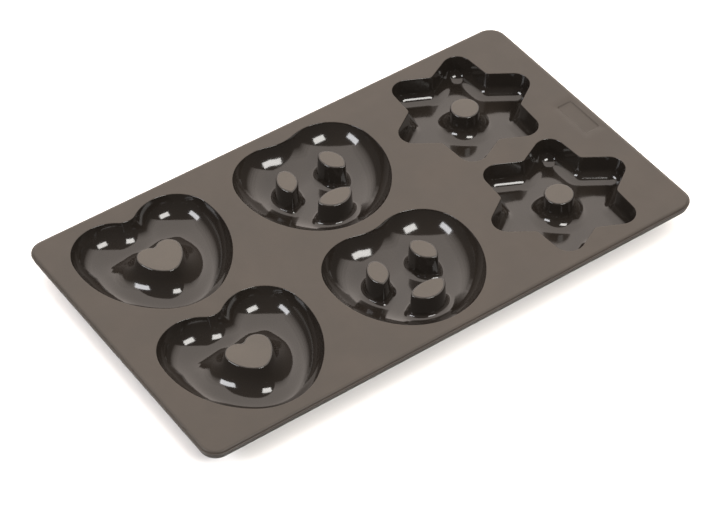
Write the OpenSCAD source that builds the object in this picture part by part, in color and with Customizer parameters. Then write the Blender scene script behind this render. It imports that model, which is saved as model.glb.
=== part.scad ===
// Silicone baking mould for six biscuits, in millimetres.
// Three columns of cups hang below one flexible sheet: hearts, pretzels and six-pointed stars.
// +X runs along the sheet, +Y across it, +Z up. The origin is on the table, under the middle of the sheet.
// The sheet bends across the two bare webs between its columns, so each column is a body of its own there.

/* [Sheet] */
// Length of the sheet over its parting line
sheet_l = 300; // [296:1:306]
// Width of the sheet over its parting line
sheet_w = 173; // [171:1:178]
// Radius of the sheet's corners at the parting line
corner_r = 9.5; // [8:0.5:12]
// Thickness of the sheet, of the cup walls and of the cup floors
skin_t = 2; // [1.8:0.1:2.2]
// Height from the table to the top of the sheet
mold_h = 16.5; // [16:0.25:17]

/* [Rim] */
// Width of the thick bead around the sheet
rim_w = 4.6; // [4:0.1:5]
// Height of the bead below the sheet's top face
rim_h = 5; // [4.5:0.1:6]
// Drop from the top face to the parting line
ledge_drop = 1.2; // [1:0.1:1.4]
// Width of the thin ledge outside the rounded shoulder
ledge_w = 0.8; // [0.6:0.1:1]
// Radius of the rounded shoulder, seen from above
shoulder_r = 1.5; // [1.3:0.1:1.8]
// Inward slope of the bead's outer side over its height
rim_draft = 1.1; // [0.8:0.1:1.3]

/* [Cups] */
// Distance between the two rows of cups
row_pitch = 81.2; // [81:0.1:82]
// Centre of the heart column
heart_x = -96.6; // [-97:0.1:-96]
// Centre of the pretzel column
pretzel_x = 0.3; // [0:0.1:0.6]
// Centre of the star column
star_x = 95.3; // [95:0.1:95.6]
// Radius of the round between the wall and the floor of a heart cup
heart_round = 17; // [16.6:0.1:18]
// Radius of the round between the wall and the floor of a pretzel cup
pretzel_round = 24; // [22:0.5:25]
// Radius of the round between the wall and the floor of a star cup
star_round = 7.1; // [5:0.1:7.2]
// Inward slope of a star cup's wall above its round
star_draft = 0.6; // [0.3:0.1:0.8]

/* [Posts] */
// Outward slope of a post's side above its flare
post_draft = 0.9; // [0.6:0.1:1]
// Radius of the flare at the foot of a pretzel post
post_flare = 3.4; // [2.6:0.1:3.6]
// Radius of the flare at the foot of a star post
star_flare = 8; // [5:0.1:8.4]
// Radius of the star's round post at the top
star_post_r = 7.5; // [7:0.1:8]
// Radius of the flare of the heart core
core_flare = 15.5; // [14:0.1:15.8]

/* [Flex lines] */
// Middle of the web between the hearts and the pretzels
left_flex_x = -48.4; // [-49:0.1:-48]
// Middle of the web between the pretzels and the stars
right_flex_x = 47.6; // [47.2:0.1:48]
// Gap between the round edge of one panel and the hollow edge of the next
flex_gap = 0.3; // [0.2:0.05:0.4]
// Largest bend with the ends down, which the bead is notched for
bend_down = 35; // [20:1:38]

/* [Label place] */
// Length of the bare recess near the right short edge
label_l = 25; // [20:1:30]
// Width of the bare recess
label_w = 9.5; // [8:0.5:10]
// Depth of the bare recess
label_d = 0.5; // [0.3:0.1:0.8]

/* [Hidden] */

sheet_color = [0.41, 0.37, 0.345];
wall_color = [0.25, 0.22, 0.20];
floor_color = [0.45, 0.42, 0.40];
post_color = [0.49, 0.46, 0.43];

front_y = -row_pitch / 2;
back_y = row_pitch / 2;
under_z = mold_h - skin_t;
flex_z = mold_h - skin_t / 2;
flex_r = skin_t / 2;
label_x = 140.1;
label_y = -0.3;

// Lobed outlines: lobe centre x and y, lobe radius, side radius, radius and height of the
// round base, radius of the notch between the lobes.
heart_shape = [18.5, 15.9, 21.6, 53, 30.7, -6.8, 9.2];
pretzel_shape = [15.9, 11.8, 25, 49.4, 37.5, -0.4, 26.6];
core_shape = [5.6, 3.6, 6.4, 18, 6.8, -4, 2];
// Star: distance of the sharp tips, radius of the rounded tips, radius in the notches.
star_shape = [50, 8.3, 3];
// Place of the heart core, and of each pretzel post, from the cup's centre.
core_at = [0.5, -0.5];
leaf_at = [14.3, 8.2];
low_at = [0, -14.5];
// Where a wall node ends and the floor node begins, inward from the lip, and where the foot of the core ends.
heart_cut = 10.5;
pretzel_cut = 11;
core_cut = 8;
soft_draft = 0.5;
core_draft = 0.8;

function len2(v) = sqrt(v[0] * v[0] + v[1] * v[1]);
function dir(v) = atan2(v[1], v[0]);

// Centre of a circle of radius r that holds circles (a, ra) and (b, rb) inside it and touches both,
// on the far side of the line from a to b.
function around(a, ra, b, rb, r) =
  let (d = b - a, l = len2(d), p = r - ra, q = r - rb, m = (p * p - q * q + l * l) / (2 * l),
       h = sqrt(p * p - m * m), u = d / l)
  a + m * u - h * [-u[1], u[0]];

// Arcs of a lobed outline grown by o, counter-clockwise: [centre, radius, from, to, pieces].
// k is how much of the growth the notch takes from its radius.
function lobed_arcs(s, o, k) =
  let (lobe = [s[0], s[1]], lr = s[2] + o, base = [0, s[5]], br = s[4] + o,
       c = around(lobe, lr, base, br, s[3] + o), nr = s[6] - k * o,
       notch = [0, s[1] + sqrt(pow(lr + nr, 2) - s[0] * s[0])],
       ab = dir(base - c), al = dir(lobe - c), an = dir(notch - lobe))
  [
    [base, br, -180 - ab, ab, 10],
    [c, s[3] + o, ab, al, 5],
    [lobe, lr, al, an, 9],
    [notch, nr, an - 180, -an, 6],
    [[-lobe[0], lobe[1]], lr, 180 - an, 180 - al, 9],
    [[-c[0], c[1]], s[3] + o, 180 - al, 180 - ab, 5]
  ];

function arc_points(a, last) =
  [for (i = [0 : last]) a[0] + a[1] * [cos(a[2] + (a[3] - a[2]) * i / a[4]), sin(a[2] + (a[3] - a[2]) * i / a[4])]];

function lobed(s, o = 0, k = 1) = [for (a = lobed_arcs(s, o, k)) each arc_points(a, a[4] - 1)];

function star(s, o = 0) =
  let (far = s[0] - 2 * s[1], near = s[0] / sqrt(3) + s[2] / sin(60))
  [for (i = [0 : 5]) each concat(
    arc_points([far * [cos(60 * i), sin(60 * i)], s[1] + o, 60 * i - 60, 60 * i + 60, 6], 6),
    arc_points([near * [cos(60 * i + 30), sin(60 * i + 30)], s[2] - o, 60 * i + 240, 60 * i + 180, 3], 3))];

// Rounded rectangle, inset by u from the sheet's parting line.
function frame_outline(u) =
  let (r = corner_r - u, x = sheet_l / 2 - corner_r, y = sheet_w / 2 - corner_r)
  [for (q = [[x, y, 0], [-x, y, 90], [-x, -y, 180], [x, -y, 270]]) each
    arc_points([[q[0], q[1]], r, q[2], q[2] + 90, 8], 8)];

// Leaf with a round upper end and a pointed lower end, along an axis that leans by lean degrees.
function leaf(a, b, p, lean) =
  [for (i = [0 : 27]) let (t = 360 * i / 28 - 90, s = sin(t), c = cos(t),
     x = b * (s < 0 ? sign(c) * pow(abs(c), 2 * p) : c), y = a * s)
   [x * cos(lean) + y * sin(lean), -x * sin(lean) + y * cos(lean)]];

// Lens with two pointed ends, deeper below its ends than above them.
function lens(a, up, down, p) =
  [for (i = [0 : 27]) let (t = 360 * i / 28, s = sin(t))
   [a * cos(t), (s > 0 ? up : -down) * pow(abs(s), 2 * p)]];

// Outline grown by o along its corners' bisectors.
function grown(pts, o) =
  let (n = len(pts))
  [for (i = [0 : n - 1])
    let (d1 = pts[i] - pts[(i + n - 1) % n], d2 = pts[(i + 1) % n] - pts[i],
         n1 = [d1[1], -d1[0]] / len2(d1), n2 = [d2[1], -d2[0]] / len2(d2))
    pts[i] + o * (n1 + n2) / (1 + n1 * n2)];

function at_z(pts, z) = [for (p = pts) [p[0], p[1], z]];

// Closed band through a loop of outlines that all have the same number of points.
module band(loops) {
  n = len(loops[0]);
  m = len(loops);
  polyhedron(
    points = [for (l = loops) each l],
    faces = [for (j = [0 : m - 1]) for (i = [0 : n - 1])
      [j * n + i, ((j + 1) % m) * n + i, ((j + 1) % m) * n + (i + 1) % n, j * n + (i + 1) % n]]);
}

// Solid through a stack of outlines around one centre; the first and the last are level.
module stack(loops, centre = [0, 0]) {
  n = len(loops[0]);
  m = len(loops);
  polyhedron(
    points = concat([for (l = loops) each l],
      [[centre[0], centre[1], loops[0][0][2]], [centre[0], centre[1], loops[m - 1][0][2]]]),
    faces = concat(
      [for (i = [0 : n - 1]) [n * m, i, (i + 1) % n]],
      [for (j = [0 : m - 2]) for (i = [0 : n - 1])
        [j * n + i, (j + 1) * n + i, (j + 1) * n + (i + 1) % n, j * n + (i + 1) % n]],
      [for (i = [0 : n - 1]) [n * m + 1, (m - 1) * n + (i + 1) % n, (m - 1) * n + i]]));
}

// Signed distance of a point from a lobed outline, positive inside.
function inset(s, k, p) =
  min(concat([99], [for (i = [0 : 5])
    let (a = lobed_arcs(s, 0, k)[i], d = p - a[0], w = dir(d) - min(a[2], a[3]), l = len2(d))
    if (w - 360 * floor(w / 360) <= abs(a[3] - a[2]) + 0.001) i == 3 ? l - a[1] : a[1] - l]));

// How far in from the lip a round of radius f ends on the floor.
function reach(f, draft) = let (d = mold_h - skin_t) draft + (f > d ? f * cos(asin(1 - d / f)) : f);

// Height of a round of radius r above its lowest level, at distance v from the lip; far is its reach.
function rise(v, far, r) = v >= far ? 0 : r - sqrt(max(0, r * r - (far - v) * (far - v)));

// Section of a cup's wall: [growth of the lip outline, height], down the inside as far in as cut, and up the outside.
function wall_section(f, draft, cut) =
  let (d = mold_h - skin_t, far = reach(f, draft), r = f + skin_t,
       a0 = f > d ? asin(1 - d / f) : 0, a1 = cut < far ? acos((far - cut) / f) : 90,
       b0 = asin(max(0, (r - under_z) / r)), b1 = cut < far ? acos((far - cut) / r) : 90)
  concat(
    [[0, mold_h]],
    [for (i = [f > d ? 1 : 0 : 6]) let (t = a0 + (a1 - a0) * i / 6) [f * cos(t) - far, r - f * sin(t)]],
    [for (i = [6 : -1 : 1]) let (t = b0 + (b1 - b0) * i / 6) [r * cos(t) - far, r - r * sin(t)]],
    [[skin_t, under_z], [skin_t, mold_h]]);

// Section of a post's outer side: [growth of the top outline, height], from the table up.
function post_section(draft, flare) = concat(
  [[draft + flare, 0]],
  [for (t = [90 : -18 : 0]) [draft + flare * (1 - cos(t)), skin_t + flare * (1 - sin(t))]],
  [[0, mold_h]]);

// Section of the hollow under a post: [growth of its ceiling's outline, height], down to its rounded mouth.
function hollow_section(draft, flare) =
  let (mouth = flare + skin_t / 2)
  concat([[0, under_z]], [for (t = [0 : 18 : 90]) [draft + mouth * (1 - cos(t)), mouth * (1 - sin(t))]]);

// Ring of a post in the cup's own place, lifted where it stands on the round of a pretzel cup's wall.
function lifted(pts, z, base, r) =
  let (share = max(0, min(1, (base + 6 - z) / 5)), far = reach(pretzel_round, 0.2))
  [for (p = pts) [p[0], p[1], z + (share > 0 ? share * rise(inset(pretzel_shape, 1, p), far, r) : 0)]];

// Heights in a heart cup: the wall's round and the core's flare are added up, so that they run into each other.
function core_rise(p, extra) =
  rise(-inset(core_shape, -0.6, p - core_at), reach(core_flare, core_draft), core_flare + extra);
function wall_rise(p, extra) =
  rise(inset(heart_shape, 1, p), reach(heart_round, soft_draft), heart_round + extra);

// Ring of the heart cup's wall, and ring of its core, in the cup's own place.
function heart_ring(g, z, extra) =
  [for (p = lobed(heart_shape, g)) [p[0], p[1], z + (g < 0 ? core_rise(p, extra) : 0)]];
function core_ring(g, z, extra) =
  let (share = max(0, min(1, (10 - z) / 5)))
  [for (q = lobed(core_shape, g, -0.6)) let (p = q + core_at) [p[0], p[1], z + share * wall_rise(p, extra)]];

// Section of the bead: [inset from the parting line, height].
rim_section = concat(
  [[rim_draft, mold_h - rim_h], [0, mold_h - ledge_drop], [ledge_w, mold_h - ledge_drop]],
  [for (t = [22.5 : 22.5 : 90]) [ledge_w + shoulder_r * (1 - cos(t)), mold_h - ledge_drop * (1 - sin(t))]],
  [[rim_w, mold_h], [rim_w, mold_h - rim_h]]);

// Everything on one side of a flex line, seen along +Y. side is -1 for the outer panel, whose edge is
// round, and 1 for the middle panel, whose edge is hollow.
module keep(x, outward, round_edge) {
  g = flex_gap / 2;
  slope = tan(bend_down / 2);
  rotate([90, 0, 0])
    linear_extrude(height = sheet_w + 20, center = true)
      translate([x, flex_z])
        mirror([(round_edge ? outward : -outward) > 0 ? 1 : 0, 0])
          if (round_edge) {
            polygon([[0, 0], [0, 5], [-200, 5], [-200, -25], [-g - 25 * slope, -25], [-g, 0]]);
            circle(r = flex_r, $fn = 48);
          } else {
            difference() {
              polygon([[-g, 0], [-g, 5], [-200, 5], [-200, -25], [-g - 25 * slope, -25]]);
              circle(r = flex_r + flex_gap, $fn = 48);
            }
          }
}

module openings_2d() {
  for (y = [front_y, back_y]) {
    translate([heart_x, y]) polygon(lobed(heart_shape, skin_t));
    translate([pretzel_x, y]) polygon(lobed(pretzel_shape, skin_t));
    translate([star_x, y]) polygon(star(star_shape, skin_t));
  }
  translate([label_x, label_y]) square([label_w, label_l], center = true);
}

module sheet() {
  translate([0, 0, under_z])
    linear_extrude(height = skin_t)
      difference() {
        polygon(frame_outline(rim_w));
        openings_2d();
      }
}

module rim() { band([for (p = rim_section) at_z(frame_outline(p[0]), p[1])]); }

module sheet_left() color(sheet_color) intersection() { sheet(); keep(left_flex_x, -1, true); }
module sheet_middle() color(sheet_color) intersection() { sheet(); keep(left_flex_x, -1, false); keep(right_flex_x, 1, false); }
module sheet_right() color(sheet_color) intersection() { sheet(); keep(right_flex_x, 1, true); }

module rim_left() color(sheet_color) intersection() { rim(); keep(left_flex_x, -1, true); }
module rim_middle(front) color(sheet_color) intersection() {
  rim();
  keep(left_flex_x, -1, false);
  keep(right_flex_x, 1, false);
  translate([-100, front ? -100 : 0, -5]) cube([200, 100, 40]);
}
module rim_middle_front() rim_middle(true);
module rim_middle_back() rim_middle(false);
module rim_right() color(sheet_color) intersection() { rim(); keep(right_flex_x, 1, true); }

module blank_label_panel() color(sheet_color)
  translate([label_x, label_y, under_z])
    linear_extrude(height = skin_t - label_d) square([label_w, label_l], center = true);

module heart_wall(y) color(wall_color) translate([heart_x, y, 0])
  let (w = wall_section(heart_round, soft_draft, heart_cut))
    band([for (i = [0 : len(w) - 1]) heart_ring(w[i][0], w[i][1], i < len(w) / 2 ? 0 : skin_t)]);
module pretzel_wall(y) color(wall_color) translate([pretzel_x, y, 0])
  band([for (p = wall_section(pretzel_round, 0.2, pretzel_cut)) at_z(lobed(pretzel_shape, p[0]), p[1])]);
module star_wall(y) color(wall_color) translate([star_x, y, 0])
  band([for (p = wall_section(star_round, star_draft, 99)) at_z(star(star_shape, p[0]), p[1])]);

leaf_outline = leaf(8.2, 5.2, 0.8, 17);
leaf_hollow = leaf(8.2 - skin_t, 5.2 - skin_t, 0.8, 17);
lens_outline = lens(9.7, 4.1, 7, 0.65);
lens_hollow = lens(9.7 - skin_t, 4.1 - skin_t, 7 - skin_t, 0.65);
foot = post_draft + post_flare;

// Outlines of the left leaf post and of the low post in the cup's own place, grown by g.
function left_leaf(pts, g) = [for (p = grown(pts, g)) p + [-leaf_at[0], leaf_at[1]]];
function low_lens(pts, g) = [for (p = grown(pts, g)) p + low_at];

// Each floor ends where the feet of its posts begin. In a heart cup it is the hollow ring between wall and core.
module heart_floor(y) color(floor_color) translate([heart_x, y, 0]) {
  a = lobed(heart_shape, -heart_cut);
  b = [for (p = lobed(core_shape, core_cut, -0.6)) p + core_at];
  band(concat(
    [for (u = [0 : 0.2 : 1.01]) [for (i = [0 : len(a) - 1]) let (p = a[i] * (1 - u) + b[i] * u)
      [p[0], p[1], skin_t + wall_rise(p, 0) + core_rise(p, 0)]]],
    [for (u = [1 : -0.2 : -0.01]) [for (i = [0 : len(a) - 1]) let (p = a[i] * (1 - u) + b[i] * u)
      [p[0], p[1], wall_rise(p, skin_t) + core_rise(p, skin_t)]]]));
}
module pretzel_floor(y) color(floor_color) translate([pretzel_x, y, 0])
  difference() {
    let (far = reach(pretzel_round, 0.2), r = pretzel_round + skin_t)
      stack(concat(
        [for (i = [5 : -1 : 0]) let (v = pretzel_cut + (far - pretzel_cut) * i / 5)
          at_z(lobed(pretzel_shape, -v), rise(v, far, r))],
        [for (i = [0 : 5]) let (v = pretzel_cut + (far - pretzel_cut) * i / 5)
          at_z(lobed(pretzel_shape, -v), skin_t + rise(v, far, pretzel_round))]));
    translate([0, 0, -1]) linear_extrude(height = 20) {
      polygon(left_leaf(leaf_outline, foot));
      mirror([1, 0]) polygon(left_leaf(leaf_outline, foot));
      polygon(low_lens(lens_outline, foot));
    }
  }
module star_floor(y) color(floor_color) translate([star_x, y, 0])
  linear_extrude(height = skin_t)
    difference() {
      polygon(star(star_shape, -star_draft - star_round));
      circle(r = star_post_r + star_draft + star_flare, $fn = 96);
    }

// The posts are hollow from below, with the same skin as the walls.
module heart_core(y) color(post_color) translate([heart_x, y, 0]) {
  d = mold_h - skin_t;
  r = core_flare + skin_t;
  far = reach(core_flare, core_draft);
  a0 = core_flare > d ? asin(1 - d / core_flare) : 0;
  a1 = acos((far - core_cut) / core_flare);
  b0 = asin((r - under_z) / r);
  b1 = acos((far - core_cut) / r);
  stack(concat(
    [for (i = [0 : 5]) let (t = b0 + (b1 - b0) * i / 5) core_ring(far - r * cos(t), r - r * sin(t), skin_t)],
    [for (i = [5 : -1 : core_flare > d ? 1 : 0]) let (t = a0 + (a1 - a0) * i / 5) core_ring(far - core_flare * cos(t), r - core_flare * sin(t), 0)],
    [core_ring(0, mold_h, 0)]), core_at);
}
module leaf_post(side, y) color(post_color) translate([pretzel_x, y, 0])
  mirror([side < 0 ? 1 : 0, 0])
    stack(concat(
      [for (p = hollow_section(post_draft, post_flare)) lifted(left_leaf(leaf_hollow, p[0]), p[1], 0, pretzel_round + skin_t)],
      [for (p = post_section(post_draft, post_flare)) lifted(left_leaf(leaf_outline, p[0]), p[1],
        p[1] < skin_t ? 0 : skin_t, p[1] < skin_t ? pretzel_round + skin_t : pretzel_round)]), [-leaf_at[0], leaf_at[1]]);
module low_post(y) color(post_color) translate([pretzel_x, y, 0])
  stack(concat(
    [for (p = hollow_section(post_draft, post_flare)) lifted(low_lens(lens_hollow, p[0]), p[1], 0, pretzel_round + skin_t)],
    [for (p = post_section(post_draft, post_flare)) lifted(low_lens(lens_outline, p[0]), p[1],
      p[1] < skin_t ? 0 : skin_t, p[1] < skin_t ? pretzel_round + skin_t : pretzel_round)]), low_at);
module star_post(y) color(post_color) translate([star_x, y, 0])
  rotate_extrude($fn = 96)
    polygon(concat(
      [[0, under_z]],
      [for (p = hollow_section(star_draft, star_flare)) [star_post_r - skin_t + p[0], p[1]]],
      [for (p = post_section(star_draft, star_flare)) [star_post_r + p[0], p[1]]],
      [[0, mold_h]]));

module heart_wall_front() heart_wall(front_y);
module heart_wall_back() heart_wall(back_y);
module heart_floor_front() heart_floor(front_y);
module heart_floor_back() heart_floor(back_y);
module heart_core_front() heart_core(front_y);
module heart_core_back() heart_core(back_y);
module pretzel_wall_front() pretzel_wall(front_y);
module pretzel_wall_back() pretzel_wall(back_y);
module pretzel_floor_front() pretzel_floor(front_y);
module pretzel_floor_back() pretzel_floor(back_y);
module pretzel_post_left_front() leaf_post(1, front_y);
module pretzel_post_right_front() leaf_post(-1, front_y);
module pretzel_post_low_front() low_post(front_y);
module pretzel_post_left_back() leaf_post(1, back_y);
module pretzel_post_right_back() leaf_post(-1, back_y);
module pretzel_post_low_back() low_post(back_y);
module star_wall_front() star_wall(front_y);
module star_wall_back() star_wall(back_y);
module star_floor_front() star_floor(front_y);
module star_floor_back() star_floor(back_y);
module star_post_front() star_post(front_y);
module star_post_back() star_post(back_y);

sheet_left();
sheet_middle();
sheet_right();
blank_label_panel();
rim_left();
rim_middle_front();
rim_middle_back();
rim_right();
heart_wall_front();
heart_wall_back();
heart_floor_front();
heart_floor_back();
heart_core_front();
heart_core_back();
pretzel_wall_front();
pretzel_wall_back();
pretzel_floor_front();
pretzel_floor_back();
pretzel_post_left_front();
pretzel_post_right_front();
pretzel_post_low_front();
pretzel_post_left_back();
pretzel_post_right_back();
pretzel_post_low_back();
star_wall_front();
star_wall_back();
star_floor_front();
star_floor_back();
star_post_front();
star_post_back();
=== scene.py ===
# Silicone baking mould for six biscuits: surfaces, materials, light and camera.
# Lengths in the shape code are millimetres in the part's own frame; meshes are written in metres.
import math

import bmesh
import bpy
import numpy as np
from mathutils import Matrix, Vector
from mathutils.geometry import delaunay_2d_cdt

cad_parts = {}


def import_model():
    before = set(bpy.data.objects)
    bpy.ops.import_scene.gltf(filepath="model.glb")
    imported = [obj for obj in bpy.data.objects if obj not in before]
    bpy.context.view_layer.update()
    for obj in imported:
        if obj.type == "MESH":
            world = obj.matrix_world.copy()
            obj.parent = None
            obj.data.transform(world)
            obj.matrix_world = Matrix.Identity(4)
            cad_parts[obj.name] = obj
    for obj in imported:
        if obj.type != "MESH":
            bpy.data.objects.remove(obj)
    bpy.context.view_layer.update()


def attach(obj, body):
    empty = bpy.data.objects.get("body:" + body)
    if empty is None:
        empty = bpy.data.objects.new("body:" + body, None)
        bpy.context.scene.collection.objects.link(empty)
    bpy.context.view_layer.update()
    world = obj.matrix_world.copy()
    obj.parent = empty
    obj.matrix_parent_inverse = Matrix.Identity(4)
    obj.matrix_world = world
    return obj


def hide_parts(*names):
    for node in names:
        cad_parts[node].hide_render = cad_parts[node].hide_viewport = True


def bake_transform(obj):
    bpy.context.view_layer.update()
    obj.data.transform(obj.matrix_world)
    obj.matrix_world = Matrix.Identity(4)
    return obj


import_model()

# ---------------------------------------------------------------- sizes, as in the part
H = 16.5                      # top of the sheet
SKIN = 2.0
UNDER = H - SKIN
SHEET_L, SHEET_W, CORNER_R = 300.0, 173.0, 9.5
FRONT_Y, BACK_Y = -40.6, 40.6
HEART_X, PRETZEL_X, STAR_X = -96.6, 0.3, 95.3
POST_DRAFT, POST_FLARE = 0.9, 4.0
STAR_DRAFT, STAR_FLARE = 0.6, 8.0
CORE_DRAFT, CORE_FLARE, CORE_CUT = 0.8, 15.5, 8.0
STAR_POST_R = 7.5
HEART = (18.5, 15.9, 21.6, 53, 30.7, -6.8, 9.2)
PRETZEL = (15.9, 11.8, 25, 49.4, 37.5, -0.4, 26.6)
CORE = (5.6, 3.6, 6.4, 18, 6.8, -4, 2)
STAR = (50, 8.3, 3)
CORE_AT, LEAF_AT, LOW_AT = (0.5, -0.5), (14.3, 8.2), (0, -14.5)
LABEL = (140.1, -0.3, 9.5, 25.0, 0.5)
FLANGE = 2.6                  # width of the flat ring that each cup shares with the sheet
LIP_R = 0.5                   # rounding of a cup's lip
TOP_R = 0.9                   # rounding of a post's top edge
LEFT_ZONE = (-43.5, -53.6)    # where the left web bends, from the middle panel outward
RIGHT_ZONE = (44.1, 50.7)


# ---------------------------------------------------------------- outlines
def heading(v):
    return math.degrees(math.atan2(v[1], v[0]))


def around(a, ra, b, rb, r):
    d = b - a
    l = np.hypot(*d)
    p, q = r - ra, r - rb
    m = (p * p - q * q + l * l) / (2 * l)
    h = math.sqrt(p * p - m * m)
    u = d / l
    return a + m * u - h * np.array([-u[1], u[0]])


def arc(c, r, a0, a1, n, last):
    a = np.radians(a0 + (a1 - a0) * np.arange(last + 1) / n)
    return np.stack([c[0] + r * np.cos(a), c[1] + r * np.sin(a)], 1)


def lobed(s, o=0.0, k=1.0, m=5):
    lobe, lr = np.array([s[0], s[1]], float), s[2] + o
    base, br = np.array([0, s[5]], float), s[4] + o
    c = around(lobe, lr, base, br, s[3] + o)
    nr = s[6] - k * o
    notch = np.array([0, s[1] + math.sqrt((lr + nr) ** 2 - s[0] ** 2)])
    ab, al, an = heading(base - c), heading(lobe - c), heading(notch - lobe)
    flip = np.array([-1, 1])
    arcs = [(base, br, -180 - ab, ab, 10 * m), (c, s[3] + o, ab, al, 5 * m), (lobe, lr, al, an, 9 * m),
            (notch, nr, an - 180, -an, 6 * m), (lobe * flip, lr, 180 - an, 180 - al, 9 * m),
            (c * flip, s[3] + o, 180 - al, 180 - ab, 5 * m)]
    return np.vstack([arc(*a, a[4] - 1) for a in arcs])


def star(s, o=0.0, m=4):
    """Six rounded tips and six rounded notches; the notches stand a little further out than straight sides through
    all the tips would put them."""
    far, near = s[0] - 2 * s[1], s[0] / math.sqrt(3) + s[2] / math.sin(math.radians(60)) + 0.9
    d = near * np.array([math.cos(math.radians(30)), math.sin(math.radians(30))]) - np.array([far, 0])
    turn = heading(d) + math.degrees(math.asin((s[1] + s[2]) / np.hypot(*d))) - 90
    out = []
    for i in range(6):
        t, u = math.radians(60 * i), math.radians(60 * i + 30)
        out.append(arc(far * np.array([math.cos(t), math.sin(t)]), s[1] + o, 60 * i - turn, 60 * i + turn, 6 * m, 6 * m))
        out.append(arc(near * np.array([math.cos(u), math.sin(u)]), s[2] - o, 60 * i + turn + 180, 60 * i + 240 - turn,
                       3 * m, 3 * m))
    return np.vstack(out)


def leaf(a, b, q, lean, n=96):
    t = np.radians(360 * np.arange(n) / n - 90)
    s, c = np.sin(t), np.cos(t)
    x, y, l = b * np.where(s < 0, np.sign(c) * np.abs(c) ** (2 * q), c), a * s, math.radians(lean)
    return np.stack([x * math.cos(l) + y * math.sin(l), -x * math.sin(l) + y * math.cos(l)], 1)


def lens(a, up, down, q, n=96):
    t = np.radians(360 * np.arange(n) / n)
    s = np.sin(t)
    return np.stack([a * np.cos(t), np.where(s > 0, up, -down) * np.abs(s) ** (2 * q)], 1)


def grown(pts, o):
    d1, d2 = pts - np.roll(pts, 1, 0), np.roll(pts, -1, 0) - pts
    n1 = np.stack([d1[:, 1], -d1[:, 0]], 1) / np.hypot(*d1.T)[:, None]
    n2 = np.stack([d2[:, 1], -d2[:, 0]], 1) / np.hypot(*d2.T)[:, None]
    return pts + o * (n1 + n2) / (1 + (n1 * n2).sum(1))[:, None]


def sized(pts, o, half):
    """Outline grown by o; inward it is scaled instead, so that its pointed ends don't fold over."""
    return grown(pts, o) if o >= 0 else pts * (1 + o / half)


def circle(r, n=96):
    a = 2 * math.pi * np.arange(n) / n
    return np.stack([r * np.cos(a), r * np.sin(a)], 1)


# ---------------------------------------------------------------- mesh building
class Soup:
    """Faces given by their corner points; equal points become one vertex."""

    def __init__(self):
        self.keys, self.points, self.faces, self.kinds = {}, [], [], []

    def vertex(self, p):
        k = (round(p[0], 4), round(p[1], 4), round(p[2], 4))
        if k not in self.keys:
            self.keys[k] = len(self.points)
            self.points.append(k)
        return self.keys[k]

    def face(self, corners, kind):
        ids = [self.vertex(p) for p in corners]
        ids = [v for i, v in enumerate(ids) if v != ids[i - 1]]
        if len(ids) > 2:
            self.faces.append(ids)
            self.kinds.append(kind)

    def loft(self, a, b, kind, closed=True):
        n = len(a)
        for i in range(n if closed else n - 1):
            j = (i + 1) % n
            self.face([a[i], a[j], b[j], b[i]], kind)

    def lofts(self, rings, kind, closed=True):
        for a, b in zip(rings[:-1], rings[1:]):
            self.loft(a, b, kind, closed)

    def patch(self, outer, holes, height, kind, extra):
        """Curved patch between closed rings with their own heights; inside, height(points) gives z."""
        loops = [outer, *holes]
        _, tri = triangulate(loops, extra)
        full = np.vstack(loops + ([np.column_stack([extra, height(extra)])] if len(extra) else []))
        for t in tri:
            self.face([full[i] for i in t], kind)

    def plane(self, outer, holes, z, kind, extra=(), lines=()):
        for tri in plane_triangles(outer, holes, extra, lines):
            self.face([(p[0], p[1], z) for p in tri], kind)


def inside(pts, loop):
    x, y = pts[:, 0], pts[:, 1]
    hit = np.zeros(len(pts), bool)
    a, b = loop, np.roll(loop, -1, 0)
    for (x0, y0), (x1, y1) in zip(a, b):
        if y0 == y1:
            continue
        cross = (y0 > y) != (y1 > y)
        hit ^= cross & (x < (x1 - x0) * (y - y0) / (y1 - y0) + x0)
    return hit


def triangulate(loops, extra=(), lines=()):
    """Triangles between the closed loops, the first of which is the outside, as indices into loops + lines + extra."""
    pts, edges = [], []
    for l in loops:
        n0 = len(pts)
        pts += [(float(p[0]), float(p[1])) for p in l]
        edges += [(n0 + i, n0 + (i + 1) % len(l)) for i in range(len(l))]
    for l in lines:
        n0 = len(pts)
        pts += [(float(p[0]), float(p[1])) for p in l]
        edges += [(n0 + i, n0 + i + 1) for i in range(len(l) - 1)]
    pts += [(float(p[0]), float(p[1])) for p in extra]
    co, _, faces, orig, _, _ = delaunay_2d_cdt([Vector(p) for p in pts], edges, [], 0, 1e-5)
    index = np.array([o[0] if o else -1 for o in orig])
    tri = np.array([f for f in faces if len(f) == 3])
    tri = index[tri]
    tri = tri[(tri >= 0).all(1)]
    mid = np.array(pts)[tri].mean(1)
    keep = inside(mid, np.asarray(loops[0])[:, :2])
    for l in loops[1:]:
        keep &= ~inside(mid, np.asarray(l)[:, :2])
    return pts, tri[keep]


def plane_triangles(outer, holes, extra=(), lines=()):
    """Triangles of a flat region inside outer and outside holes, through the extra points and the open lines."""
    pts, tri = triangulate([outer, *holes], extra, lines)
    return [[pts[i] for i in t] for t in tri]


def at(loop, z):
    return np.column_stack([loop, np.full(len(loop), z)])


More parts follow.
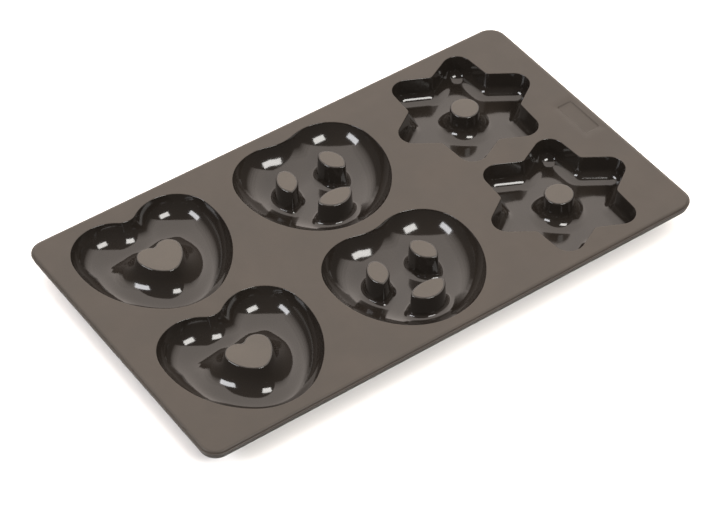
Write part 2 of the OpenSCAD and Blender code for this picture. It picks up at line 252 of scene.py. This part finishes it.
def make(name, soup, materials, angle=32.0):
    mesh = bpy.data.meshes.new(name)
    mesh.from_pydata([(x / 1000, y / 1000, z / 1000) for x, y, z in soup.points], [], soup.faces)
    for m in materials:
        mesh.materials.append(m)
    mesh.polygons.foreach_set("material_index", soup.kinds)
    bm = bmesh.new()
    bm.from_mesh(mesh)
    bmesh.ops.recalc_face_normals(bm, faces=bm.faces)
    if bm.calc_volume(signed=True) < 0:
        bmesh.ops.reverse_faces(bm, faces=bm.faces)
    loose = [e for e in bm.edges if len(e.link_faces) != 2]
    if loose:
        print("OPEN", name, len(loose), [tuple(round(c * 1000, 2) for c in e.verts[0].co) for e in loose[:4]])
    bm.to_mesh(mesh)
    bm.free()
    mesh.shade_smooth()
    mesh.set_sharp_from_angle(angle=math.radians(angle))
    obj = bpy.data.objects.new(name, mesh)
    bpy.context.scene.collection.objects.link(obj)
    return obj


# ---------------------------------------------------------------- materials
def material(name):
    m = bpy.data.materials.new(name)
    m.use_nodes = True
    nt = m.node_tree
    nt.nodes.clear()
    out = nt.nodes.new("ShaderNodeOutputMaterial")
    bsdf = nt.nodes.new("ShaderNodeBsdfPrincipled")
    nt.links.new(bsdf.outputs[0], out.inputs[0])
    m.diffuse_color = (0.2, 0.18, 0.16, 1)
    return m, nt, bsdf


def noise(nt, coord, scale, detail=3.0, rough=0.55, size=None):
    n = nt.nodes.new("ShaderNodeTexNoise")
    n.inputs["Scale"].default_value = scale
    n.inputs["Detail"].default_value = detail
    n.inputs["Roughness"].default_value = rough
    nt.links.new(coord, n.inputs["Vector"])
    return n.outputs["Fac"]


def ramp(nt, fac, lo, hi, a, b):
    n = nt.nodes.new("ShaderNodeMapRange")
    n.inputs["From Min"].default_value = lo
    n.inputs["From Max"].default_value = hi
    n.inputs["To Min"].default_value = a
    n.inputs["To Max"].default_value = b
    n.clamp = True
    nt.links.new(fac, n.inputs["Value"])
    return n.outputs[0]


def mix_color(nt, fac, a, b):
    n = nt.nodes.new("ShaderNodeMix")
    n.data_type = "RGBA"
    n.inputs["A"].default_value = (*a, 1)
    n.inputs["B"].default_value = (*b, 1)
    nt.links.new(fac, n.inputs["Factor"])
    return n.outputs["Result"]


def bump(nt, height, strength, distance, normal=None):
    n = nt.nodes.new("ShaderNodeBump")
    n.inputs["Strength"].default_value = strength
    n.inputs["Distance"].default_value = distance
    nt.links.new(height, n.inputs["Height"])
    if normal is not None:
        nt.links.new(normal, n.inputs["Normal"])
    return n.outputs["Normal"]


def silicone(name, dark, light, rough, rough_spread, grain, wave, ior=1.43):
    """Moulded silicone: cloudy colour, a fine grain from the tool's face, and slow waves of the soft skin."""
    m, nt, bsdf = material(name)
    coord = nt.nodes.new("ShaderNodeTexCoord").outputs["Object"]
    cloud = noise(nt, coord, 38, 4)
    fine = noise(nt, coord, 1400, 2)
    bsdf.inputs["IOR"].default_value = ior
    nt.links.new(mix_color(nt, ramp(nt, cloud, 0.3, 0.7, 0, 1), dark, light), bsdf.inputs["Base Color"])
    smear = noise(nt, coord, 70, 5, 0.6)
    nt.links.new(ramp(nt, smear, 0.3, 0.7, rough - rough_spread, rough + rough_spread), bsdf.inputs["Roughness"])
    slow = bump(nt, noise(nt, coord, 26, 1), 1.0, wave)
    nt.links.new(bump(nt, fine, 1.0, grain, slow), bsdf.inputs["Normal"])
    return m


MATTE = silicone("matte_silicone", (0.0250, 0.0205, 0.0160), (0.0310, 0.0246, 0.0190), 0.50, 0.03, 0.000035, 0.00004, 1.37)
GLOSS = silicone("glossy_silicone", (0.011, 0.0092, 0.0077), (0.014, 0.0115, 0.0095), 0.10, 0.015, 0.000001, 0.000005)
CAP = silicone("post_top_silicone", (0.0400, 0.0347, 0.0286), (0.0475, 0.0405, 0.0330), 0.42, 0.03, 0.00003, 0.00002, 1.38)
SATIN = silicone("underside_silicone", (0.0250, 0.0205, 0.0160), (0.0310, 0.0246, 0.0190), 0.40, 0.04, 0.00003, 0.00004)
# Painted shade: the rim's vertical side is a darker copy of the sheet's silicone with a weaker reflection, standing in
# for the shade on that side.
SIDE_SHADE = silicone("rim_side_painted_shade", (0.0150, 0.0125, 0.0098), (0.0185, 0.0150, 0.0118), 0.50, 0.04, 0.00002, 0.00003, 1.20)


# ---------------------------------------------------------------- cups
K_MATTE, K_GLOSS, K_CAP, K_SATIN, K_SIDE_SHADE = 0, 1, 2, 3, 4


def tangent(p, c, r):
    """Angle t on the circle (c, r) where the line from p touches it lower down; the point is c + r (cos t, -sin t)."""
    d = np.array(c, float) - np.array(p, float)
    l = np.hypot(*d)
    best = None
    for s in (1, -1):
        a = math.atan2(d[1], d[0]) + s * math.asin(r / l)
        touch = np.array(p) + math.sqrt(l * l - r * r) * np.array([math.cos(a), math.sin(a)])
        if best is None or touch[1] < best[1]:
            best = touch
    return math.degrees(math.atan2(c[1] - best[1], best[0] - c[0]))


def reach(f, draft):
    """How far in from the lip a round of radius f ends on the floor."""
    d = H - SKIN
    return draft + (f * math.cos(math.asin(1 - d / f)) if f > d else f)


class Section:
    """Section of a cup's wall: a short straight side, then a round of radius f down to the floor. rings is how far
    in from the lip the surface is drawn as offsets of the lip's outline."""

    def __init__(self, f, draft, rings=None):
        self.f = f
        low = H - SKIN - LIP_R
        self.reach = f * math.cos(math.asin(1 - low / f)) if f > low else reach(f, draft)
        self.rings = rings or self.reach

    def bowl(self, s, r=None):
        """Rise of the surface above the flat floor at distance s from the lip; r is the radius of the round."""
        r = r or self.f
        return r - np.sqrt(r * r - np.clip(self.reach - np.asarray(s, float), 0, self.reach) ** 2)

    def arcs(self, start, r, steps):
        """Points of the round of radius r from the end of the straight side that begins at start."""
        z = SKIN + self.f
        if r == self.f and r > H - SKIN - LIP_R:
            t0 = math.degrees(math.asin(1 - (H - SKIN - LIP_R) / r))
        else:
            t0 = tangent(start, (-self.reach, z), r)
        t1 = math.degrees(math.acos(max(0.0, (self.reach - self.rings) / r)))
        return [(-self.reach + r * math.cos(t), z - r * math.sin(t)) for t in np.radians(np.linspace(t0, t1, steps))]


def wall_profile(sec, steps=24):
    """Inner side of a cup from its flange to its floor: [growth of the lip outline, height, is the surface glossy]."""
    out = [(FLANGE, H, 0), (LIP_R + 0.2, H, 0)]
    out += [(LIP_R - LIP_R * math.sin(t), H - LIP_R + LIP_R * math.cos(t), 0 if t < 0.6 else 1)
            for t in np.radians(np.linspace(0, 90, 6))]
    arc_points = sec.arcs((0, H - LIP_R), sec.f, steps)
    end = arc_points[0]
    for u in (0.04, 0.5, 0.96) if H - LIP_R - end[1] > 0.1 else ():
        out.append((u * end[0], (1 - u) * (H - LIP_R) + u * end[1], 1))
    return out + [(*p, 1) for p in (arc_points if H - LIP_R - end[1] > 0.1 else arc_points[1:])]


def outer_profile(sec, steps=14):
    """Outer side of a cup, under the sheet: [growth, height]."""
    e = FLANGE - SKIN - 0.1
    top = UNDER - e
    out = [(FLANGE, UNDER)]
    out += [(SKIN + e - e * math.sin(t), UNDER - e + e * math.cos(t)) for t in np.radians(np.linspace(0, 90, 5))]
    arc_points = sec.arcs((SKIN, top), sec.f + SKIN, steps)
    end = arc_points[0]
    out.append(((SKIN + end[0]) / 2, (top + end[1]) / 2))
    return out + arc_points


class Depth:
    """Distance of points from a closed outline, counted inward."""

    def __init__(self, loop):
        t = np.roll(loop, -1, 0) - np.roll(loop, 1, 0)
        self.loop, self.inward = loop, np.stack([-t[:, 1], t[:, 0]], 1) / np.hypot(*t.T)[:, None]

    def __call__(self, pts):
        pts = np.asarray(pts, float)[:, :2]
        out = np.empty(len(pts))
        for k in range(0, len(pts), 500):
            q = pts[k:k + 500]
            i = ((q[:, None] - self.loop[None]) ** 2).sum(2).argmin(1)
            out[k:k + 500] = ((q - self.loop[i]) * self.inward[i]).sum(1)
        return out


def post_profile(draft, flare, cut=None, steps=12):
    """Side of a post from the floor to its top edge: [growth of the top outline, height]."""
    c = (reach(flare, draft), SKIN + flare)
    p = (0.45, H - TOP_R)
    d = np.array(c) - np.array(p)
    l = np.hypot(*d)
    best = None
    for s in (1, -1):
        a = math.atan2(d[1], d[0]) + s * math.asin(flare / l)
        touch = np.array(p) + math.sqrt(l * l - flare * flare) * np.array([math.cos(a), math.sin(a)])
        if best is None or touch[0] + touch[1] < best[0] + best[1]:
            best = touch
    t0 = math.degrees(math.atan2(c[1] - best[1], c[0] - best[0]))
    t1 = math.degrees(math.acos((c[0] - cut) / flare)) if cut else 90.0
    out = [(c[0] - flare * math.cos(t), c[1] - flare * math.sin(t)) for t in np.radians(np.linspace(t1, t0, steps))]
    for u in (0.33, 0.67, 0.97):
        out.append(((1 - u) * best[0] + u * p[0], (1 - u) * best[1] + u * p[1]))
    edge = [(p[0] - TOP_R + TOP_R * math.cos(t), p[1] + TOP_R * math.sin(t)) for t in np.radians(np.linspace(0, 90, 7))]
    return out, edge, (p[0] - TOP_R - 0.15, H)


def hollow_profile(draft, flare, cut=None, steps=8):
    """Hollow under a post, from its mouth at the table to its ceiling: [growth of the ceiling outline, height].
    A foot that is cut at a growth of its outline has the same section as the post, 2 mm further in."""
    if cut:
        r = flare + SKIN
        t0, t1 = math.asin((r - UNDER + 0.4) / r), math.acos((reach(flare, draft) - cut) / r)
        out = [(reach(flare, draft) - r * math.cos(t), r - r * math.sin(t)) for t in np.linspace(t1, t0, 2 * steps)]
        g = out[-1][0]
        out += [(g - 0.1, UNDER - 0.1), (g - 0.35, UNDER)]
        return out, (g - 0.8, UNDER)
    mouth = flare + SKIN / 2
    out = [(draft + mouth * (1 - math.cos(t)), mouth * (1 - math.sin(t))) for t in np.radians(np.linspace(90, 0, steps))]
    out += [(draft * 0.5, (mouth + UNDER - 0.6) / 2)]
    out += [(-0.6 + 0.6 * math.cos(t), UNDER - 0.6 + 0.6 * math.sin(t)) for t in np.radians(np.linspace(0, 90, 4))]
    return out, (-0.8, UNDER)


def cup(name, outline, sec, centre, posts, body, nodes, fine=None, swell=None):
    """A cup as one closed skin: lip, wall, floor and posts above, the same shapes 2 mm further out below.
    swell(points, extra radius) is what a wide foot adds to the height of the floor and of the wall around it."""
    s, c = Soup(), np.array(centre, float)
    depth = Depth((fine or outline)(0.0) + c)
    prof = wall_profile(sec)
    swell = swell or (lambda p, extra: 0.0)
    rings = [at(outline(p[0]) + c, p[1]) for p in prof]
    for ring, p in zip(rings, prof):
        if p[0] < -1:
            ring[:, 2] += swell(ring[:, :2] - c, 0.0)
    for i in range(len(rings) - 1):
        s.loft(rings[i], rings[i + 1], K_GLOSS if prof[i + 1][2] and prof[i][2] else K_MATTE)
    under = outer_profile(sec)
    low = [at(outline(p[0]) + c, p[1]) for p in under]
    for ring, p in zip(low, under):
        if p[0] < -1:
            ring[:, 2] += swell(ring[:, :2] - c, SKIN)
    s.lofts(low, K_SATIN)
    s.loft(rings[0], low[0], K_MATTE)

    def raised(place, shape, steps, base, r, wide):
        """Rings of a post's side, lifted where its foot stands on the slope of the cup's wall."""
        out = []
        for g, z in steps:
            ring = at(place(shape(g)) + c, z)
            share = min(1.0, max(0.0, (base + (8.0 if wide else 6.0) - z) / 5.0))
            if share > 0:
                ring[:, 2] += share * sec.bowl(depth(ring), r)
            out.append(ring)
        return out

    def spots(feet, r, step):
        """Points on offsets of the lip's outline over the part of the floor that isn't flat."""
        found = []
        for v in np.arange(sec.rings + step, sec.reach + step, step):
            loop = outline(-v) + c
            length = np.hypot(*(np.roll(loop, -1, 0) - loop).T).sum()
            loop = loop[::max(1, int(len(loop) * step * 1.2 / length))]
            keep = np.ones(len(loop), bool)
            for f in feet:
                keep &= ~inside(loop, f[:, :2])
                keep &= np.min(((loop[:, None] - f[None, :, :2]) ** 2).sum(2), 1) > (0.6 * step) ** 2
            found.append(loop[keep])
        return np.vstack(found) if found else np.zeros((0, 2))

    feet, mouths = [], []
    for place, top, ceiling, draft, flare, cut in posts:
        side, edge, flat = post_profile(draft, flare, cut)
        up = raised(place, top, side, SKIN, sec.f, cut)
        bend = [at(place(top(g)) + c, z) for g, z in edge]
        cap = at(place(top(flat[0])) + c, flat[1])
        s.lofts(up + bend, K_GLOSS)
        s.lofts([bend[-1], cap], K_CAP)
        s.plane(cap[:, :2], [], H, K_CAP)
        feet.append(up[0])
        hollow, roof = hollow_profile(draft, flare, cut)
        down = raised(place, ceiling, hollow, 0.0, sec.f + SKIN, cut)
        lid = at(place(ceiling(roof[0])) + c, roof[1])
        s.lofts(down + [lid], K_SATIN)
        s.plane(lid[:, :2], [], UNDER, K_SATIN)
        mouths.append(down[0])
    s.patch(rings[-1], feet, lambda p: SKIN + sec.bowl(depth(p)) + swell(p - c, 0.0), K_GLOSS, spots(feet, sec.f, 1.0))
    s.patch(low[-1], mouths, lambda p: sec.bowl(depth(p), sec.f + SKIN) + swell(p - c, SKIN), K_SATIN,
            spots(mouths, sec.f + SKIN, 1.6))
    o = make(name, s, [MATTE, GLOSS, CAP, SATIN])
    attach(o, body)
    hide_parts(*nodes)
    return o


LEAF, LEAF_HOLLOW = leaf(8.2, 5.2, 0.8, 17), leaf(8.2 - SKIN, 5.2 - SKIN, 0.8, 17)
LENS, LENS_HOLLOW = lens(9.7, 4.1, 7, 0.65), lens(9.7 - SKIN, 4.1 - SKIN, 7 - SKIN, 0.65)


def heart_posts():
    return [(lambda p: p + np.array(CORE_AT), lambda g: lobed(CORE, g, -0.6, 3),
             lambda g: lobed(CORE, g, -0.6, 3), CORE_DRAFT, CORE_FLARE, CORE_CUT)]


core_depth = Depth(lobed(CORE, 0.0, -0.6, 16) + np.array(CORE_AT))


def core_swell(p, extra):
    """Height that the core's long flare adds to the floor of a heart cup."""
    d, r, far = -core_depth(p), CORE_FLARE + extra, reach(CORE_FLARE, CORE_DRAFT)
    return r - np.sqrt(r * r - np.clip(far - d, 0, far) ** 2)


HEART_SECTION = Section(17.0, 0.5, rings=10.5)
PRETZEL_SECTION = Section(24.0, 0.2, rings=11.0)
STAR_SECTION = Section(7.1, 0.6)


def pretzel_posts():
    out = []
    for side in (1, -1):
        out.append((lambda p, side=side: p * np.array([side, 1]) + np.array([-side * LEAF_AT[0], LEAF_AT[1]]),
                    lambda g: sized(LEAF, g, 5.0), lambda g: sized(LEAF_HOLLOW, g, 3.2), POST_DRAFT, POST_FLARE, None))
    out.append((lambda p: p + np.array(LOW_AT), lambda g: sized(LENS, g, 5.0), lambda g: sized(LENS_HOLLOW, g, 3.2),
                POST_DRAFT, POST_FLARE, None))
    return out


def star_posts():
    return [(lambda p: p, lambda g: circle(STAR_POST_R + g), lambda g: circle(STAR_POST_R - SKIN + g),
             STAR_DRAFT, STAR_FLARE, None)]


flanges = {"left": [], "middle": [], "right": []}
for row, y in (("front", FRONT_Y), ("back", BACK_Y)):
    cup("heart_cup_" + row, lambda o: lobed(HEART, o), HEART_SECTION, (HEART_X, y), heart_posts(), "hearts_panel",
        ["heart_wall_" + row, "heart_floor_" + row, "heart_core_" + row], fine=lambda o: lobed(HEART, o, 1.0, 16), swell=core_swell)
    cup("pretzel_cup_" + row, lambda o: lobed(PRETZEL, o), PRETZEL_SECTION, (PRETZEL_X, y), pretzel_posts(),
        "pretzels_panel", ["pretzel_wall_" + row, "pretzel_floor_" + row, "pretzel_post_left_" + row,
                           "pretzel_post_right_" + row, "pretzel_post_low_" + row], fine=lambda o: lobed(PRETZEL, o, 1.0, 16))
    cup("star_cup_" + row, lambda o: star(STAR, o), STAR_SECTION, (STAR_X, y), star_posts(), "stars_panel",
        ["star_wall_" + row, "star_floor_" + row, "star_post_" + row])
    flanges["left"].append(lobed(HEART, FLANGE) + np.array([HEART_X, y]))
    flanges["middle"].append(lobed(PRETZEL, FLANGE) + np.array([PRETZEL_X, y]))
    flanges["right"].append(star(STAR, FLANGE) + np.array([STAR_X, y]))


# ---------------------------------------------------------------- sheet and rim
def span(a, b, step):
    n = max(1, int(math.ceil(abs(b - a) / step)))
    return np.linspace(a, b, n + 1)


def side_stations():
    """x of the points along a long side, closer together where a web bends."""
    xs = [span(-140.5, LEFT_ZONE[1], 9), span(LEFT_ZONE[1], LEFT_ZONE[0], 0.85), span(LEFT_ZONE[0], RIGHT_ZONE[0], 9),
          span(RIGHT_ZONE[0], RIGHT_ZONE[1], 0.7), span(RIGHT_ZONE[1], 140.5, 9)]
    return np.unique(np.round(np.concatenate(xs), 4))


XS = side_stations()
YS = span(-77.0, 77.0, 9)


def rim_ring(u, z):
    """Closed outline at inset u from the parting line, counter-clockwise from the right end of the front side."""
    r, x, y = CORNER_R - u, SHEET_L / 2 - CORNER_R, SHEET_W / 2 - CORNER_R
    pts = []
    pts += [(v, -y - r) for v in XS[:-1]]
    pts += list(map(tuple, arc((x, -y), r, 270, 360, 14, 13)))
    pts += [(x + r, v) for v in YS[:-1]]
    pts += list(map(tuple, arc((x, y), r, 0, 90, 14, 13)))
    pts += [(v, y + r) for v in XS[::-1][:-1]]
    pts += list(map(tuple, arc((-x, y), r, 90, 180, 14, 13)))
    pts += [(-x - r, v) for v in YS[::-1][:-1]]
    pts += list(map(tuple, arc((-x, -y), r, 180, 270, 14, 13)))
    return at(np.array(pts), z)


def rim_profile():
    """Section of the bead, from the flat top over the shoulder, the ledge and the side to the sheet's underside."""
    drop, ledge, sr, depth, draft, width = 1.2, 0.8, 1.5, 5.0, 1.1, 4.6
    zl, zb = H - drop, H - depth
    out = [(ledge + sr + 0.25, H, K_MATTE)]
    out += [(ledge + sr * (1 - math.cos(t)), H - drop * (1 - math.sin(t)), K_MATTE) for t in np.radians(np.linspace(90, 8, 9))]
    out += [(ledge - 0.02, zl + 0.02, K_MATTE), (ledge - 0.12, zl, K_MATTE), (0.26, zl, K_MATTE)]
    out += [(0.22 - 0.22 * math.sin(t), zl - 0.22 + 0.22 * math.cos(t), K_GLOSS) for t in np.radians(np.linspace(0, 90, 6))]
    # The side below the ledge takes the rim-side material, whose darker colour and weaker reflection are painted shade.
    e = 0.7
    k = draft / (depth - drop)
    for u in (0.1, 0.5, 0.95):
        z = zl - 0.22 - u * (depth - drop - 0.22 - e)
        out.append((k * (zl - z), z, K_SIDE_SHADE))
    z = zb + e
    out += [(k * (zl - zb) * 0.86 + e - e * math.cos(t), zb + e - e * math.sin(t), K_SIDE_SHADE) for t in np.radians(np.linspace(8, 90, 6))]
    out += [(width - 0.5, zb, K_SATIN)]
    out += [(width - 0.5 + 0.5 * math.sin(t), zb + 0.5 - 0.5 * math.cos(t), K_SATIN) for t in np.radians(np.linspace(15, 90, 5))]
    out += [(width, UNDER - 0.6, K_SATIN)]
    out += [(width + 0.5 - 0.5 * math.cos(t), UNDER - 0.5 + 0.5 * math.sin(t), K_SATIN) for t in np.radians(np.linspace(15, 90, 5))]
    out += [(width + 0.6, UNDER, K_SATIN)]
    return out


PROFILE = rim_profile()
RINGS = [rim_ring(u, z) for u, z, _ in PROFILE]


def fence(loop, x0, x1):
    """Points of a closed ring with x between x0 and x1, as open chains that start and end on those lines."""
    keep = (loop[:, 0] >= x0 - 1e-4) & (loop[:, 0] <= x1 + 1e-4)
    n = len(loop)
    if keep.all():
        return [list(range(n))]
    start = [i for i in range(n) if keep[i] and not keep[i - 1]]
    chains = []
    for i in start:
        c = []
        while keep[i % n]:
            c.append(i % n)
            i += 1
        chains.append(c)
    return chains


def grid_points(outer, holes, step, clear):
    """Points of a square grid inside the region that stay clear of its edges."""
    x = np.arange(outer[:, 0].min() + step / 2, outer[:, 0].max(), step)
    y = np.arange(outer[:, 1].min() + step / 2, outer[:, 1].max(), step)
    g = np.array([(a, b) for a in x for b in y])
    keep = inside(g, outer)
    for h in holes:
        keep &= ~inside(g, h)
    g = g[keep]
    every = np.vstack([outer, *holes])
    near = np.min(((g[:, None, :] - every[None]) ** 2).sum(2), 1) > clear ** 2
    return g[near]


def sheet_piece(name, x0, x1, zone, holes, body, nodes, recess=None):
    s = Soup()
    chains = fence(RINGS[0], x0, x1)
    for (a, b), (_, _, kind) in zip(zip(RINGS[:-1], RINGS[1:]), PROFILE[1:]):
        for ch in chains:
            s.loft(a[ch], b[ch], kind, closed=len(ch) == len(a))
    cuts = [x for x in (x0, x1) if abs(x) < 149]
    ys = span(-78, 78, 6)

    def region(ring):
        """Closed outline of the flat part inside the ring, with points along each cut."""
        pts = []
        for k, ch in enumerate(chains):
            part = [tuple(p[:2]) for p in ring[ch]]
            pts += part
            nxt = ring[chains[(k + 1) % len(chains)]][0]
            x = part[-1][0]
            line = ys if nxt[1] > part[-1][1] else ys[::-1]
            pts += [(x, y) for y in line]
        return np.array(pts)

    top, low = region(RINGS[0]), region(RINGS[-1])
    if zone:
        a, b = min(zone), max(zone)
        xs = [x for x in XS if a - 1e-3 <= x <= b + 1e-3 and all(abs(x - c) > 1e-3 for c in cuts)]
    else:
        xs = []
    for ring, z, kind in ((RINGS[0], H, K_MATTE), (RINGS[-1], UNDER, K_SATIN)):
        outer = region(ring)
        edge_y = ring[:, 1].max()
        lines = [[(x, -edge_y)] + [(x, y) for y in ys] + [(x, edge_y)] for x in xs]
        cut_holes = list(holes)
        if recess is not None and z == H:
            cut_holes.append(recess[0])
        clear = [h for h in cut_holes]
        g = grid_points(outer, clear, 7.0, 2.0)
        if zone:
            g = g[(g[:, 0] < min(zone) - 1.5) | (g[:, 0] > max(zone) + 1.5)]
        s.plane(outer, cut_holes, z, kind, extra=g, lines=lines)
    for h in holes:
        s.loft(at(h, H), at(h, UNDER), K_MATTE)
    if recess is not None:
        s.lofts([at(r, z) for r, z in zip(recess, recess_z)], K_MATTE)
        s.plane(recess[-1], [], recess_z[-1], K_MATTE, extra=grid_points(recess[-1], [], 2.5, 1.0))
    for x in cuts:
        line_t = [(x, y, H) for y in ys]
        line_b = [(x, y, UNDER) for y in ys]
        front, back = [], []
        for ring in RINGS:
            on = ring[np.abs(ring[:, 0] - x) < 1e-3]
            front.append(tuple(on[on[:, 1] < 0][0]))
            back.append(tuple(on[on[:, 1] > 0][0]))
        loop = front[::-1] + line_t + back + line_b[::-1]
        for tri in plane_triangles([(p[1], p[2]) for p in loop], []):
            s.face([(x, p[0], p[1]) for p in tri], K_MATTE)
    o = make(name, s, [MATTE, GLOSS, CAP, SATIN, SIDE_SHADE])
    if zone:
        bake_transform(o)
    else:
        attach(o, body)
    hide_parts(*nodes)
    return o


def rounded(cx, cy, w, l, r, n=5):
    pts = []
    for x, y, a in ((w / 2 - r, l / 2 - r, 0), (-w / 2 + r, l / 2 - r, 90), (-w / 2 + r, -l / 2 + r, 180), (w / 2 - r, -l / 2 + r, 270)):
        pts += list(map(tuple, arc((cx + x, cy + y), r, a, a + 90, n, n)))
    return np.array(pts)


lx, ly, lw, ll, ld = LABEL
recess = [rounded(lx, ly, lw + 0.2 - u, ll + 0.2 - u, 1.2 - u / 2) for u in (0, 0.3, 0.6, 0.9, 1.2, 1.5)]
recess_z = [H - ld * v for v in (0, 0.12, 0.4, 0.7, 0.95, 1)]

sheet_piece("left_sheet_and_rim", -150, LEFT_ZONE[0], LEFT_ZONE, flanges["left"], "pretzels_panel",
            ["sheet_left", "rim_left"])
sheet_piece("middle_sheet_and_rim", LEFT_ZONE[0], RIGHT_ZONE[0], None, flanges["middle"], "pretzels_panel",
            ["sheet_middle", "rim_middle_front", "rim_middle_back"])
sheet_piece("right_sheet_and_rim", RIGHT_ZONE[0], 150, RIGHT_ZONE, flanges["right"], "pretzels_panel",
            ["sheet_right", "rim_right", "blank_label_panel"], recess=recess)


# ---------------------------------------------------------------- floor, light, camera
def stage_floor():
    mesh = bpy.data.meshes.new("floor")
    mesh.from_pydata([(-6, -6, 0), (6, -6, 0), (6, 6, 0), (-6, 6, 0)], [], [(0, 1, 2, 3)])
    o = bpy.data.objects.new("floor", mesh)
    o.location.z = -0.0002
    bpy.context.scene.collection.objects.link(o)
    m, nt, bsdf = material("floor_paper")
    bsdf.inputs["Base Color"].default_value = (0.9, 0.9, 0.9, 1)
    bsdf.inputs["Roughness"].default_value = 1.0
    bsdf.inputs["Specular IOR Level"].default_value = 0.0
    mesh.materials.append(m)


AZ, EL, ROLL, F, TX, TY, DIST = -35.09709, 45.37278, -0.33615, 2673.2, -1.77197, -15.76741, 1368.2626


def camera_axes():
    a, e, r = map(math.radians, (AZ, EL, ROLL))
    back = np.array([math.sin(a) * math.cos(e), -math.cos(a) * math.cos(e), math.sin(e)])
    right = np.cross(-back, [0, 0, 1])
    right /= np.linalg.norm(right)
    up = np.cross(right, -back)
    return math.cos(r) * right + math.sin(r) * up, -math.sin(r) * right + math.cos(r) * up, back


def make_camera():
    right, up, back = camera_axes()
    pos = back * DIST + right * TX + up * TY + np.array([0, 0, H - 1.2])
    cam = bpy.data.cameras.new("camera")
    cam.sensor_width = 36
    cam.lens = 36 * F / 720
    cam.clip_start, cam.clip_end = 0.1, 50
    o = bpy.data.objects.new("camera", cam)
    m = Matrix([list(r) + [p / 1000] for r, p in zip(np.column_stack([right, up, back]), pos)] + [[0, 0, 0, 1]])
    o.matrix_world = m
    bpy.context.scene.collection.objects.link(o)
    bpy.context.scene.camera = o


# The light's own frame: x to the right of the camera's view, y away from it, z up.
LX = np.array([math.cos(math.radians(AZ)), math.sin(math.radians(AZ)), 0])
LY = np.array([-math.sin(math.radians(AZ)), math.cos(math.radians(AZ)), 0])
LZ = np.array([0, 0, 1.0])


def area(name, centre, normal, up, size, radiance, color):
    """Rectangular light of a given radiance; centre, normal and up are in the light's frame, in metres."""
    def world(v):
        return v[0] * LX + v[1] * LY + v[2] * LZ
    c, n, u = world(np.array(centre, float)), world(np.array(normal, float)), world(np.array(up, float))
    n /= np.linalg.norm(n)
    x = np.cross(u, -n)
    x /= np.linalg.norm(x)
    y = np.cross(-n, x)
    l = bpy.data.lights.new(name, "AREA")
    l.shape = "RECTANGLE"
    l.size, l.size_y = size
    l.energy = radiance * math.pi * size[0] * size[1]
    l.color = color
    o = bpy.data.objects.new(name, l)
    o.matrix_world = Matrix([list(r) + [p] for r, p in zip(np.column_stack([x, y, -n]), c)] + [[0, 0, 0, 1]])
    bpy.context.scene.collection.objects.link(o)
    return o


def make_world(level):
    w = bpy.data.worlds.new("studio")
    w.use_nodes = True
    nt = w.node_tree
    bg = nt.nodes["Background"]
    bg.inputs[0].default_value = (1, 1, 1, 1)
    bg.inputs[1].default_value = level
    bpy.context.scene.world = w


def toward(az, el, dist):
    """Point in the light's frame; az is counted from the view's direction, positive to its right."""
    a, e = math.radians(az), math.radians(el)
    return np.array([math.sin(a) * math.cos(e), math.cos(a) * math.cos(e), math.sin(e)]) * dist


def softbox(name, az, el, dist, wide, high, radiance, color):
    """Rectangular box that faces the mould, wide and high in degrees as seen from it."""
    c = toward(az, el, dist)
    size = (2 * dist * math.tan(math.radians(wide / 2)), 2 * dist * math.tan(math.radians(high / 2)))
    return area(name, c, -c, (0, 0, 1), size, radiance, color)


stage_floor()
make_camera()
make_world(0.10)
# A wide overhead panel, from well behind the mould to a little way past the zenith on the camera's side.
for x, wide, level in ((0, 3.0, 2.95), (1.75, 0.5, 2.5), (2.25, 0.5, 1.9), (2.75, 0.5, 1.2), (3.25, 0.5, 0.6)):
    for side in ((1, -1) if x else (1,)):
        area("overhead_panel", (side * x, 1.46, 1.5), (0, 0, -1), (0, 1, 0), (wide, 4.08), level, (1.0, 0.90, 0.83))
        area("back_panel", (side * x, 3.5, 0.75), (0, -1, 0), (0, 0, 1), (wide, 1.5), level, (1.0, 0.90, 0.83))
# A warm box behind the camera's right shoulder, and a cool one beyond its left shoulder.
softbox("warm_box", 143, 45, 1.3, 25, 15, 21.0, (1.0, 0.975, 0.94))
softbox("cool_box", -118, 30, 1.3, 28, 13, 18.0, (0.97, 0.97, 1.0))

view = bpy.context.scene.view_settings
view.view_transform = "Standard"
view.look = "None"
view.exposure = 0.0
view.gamma = 1.0
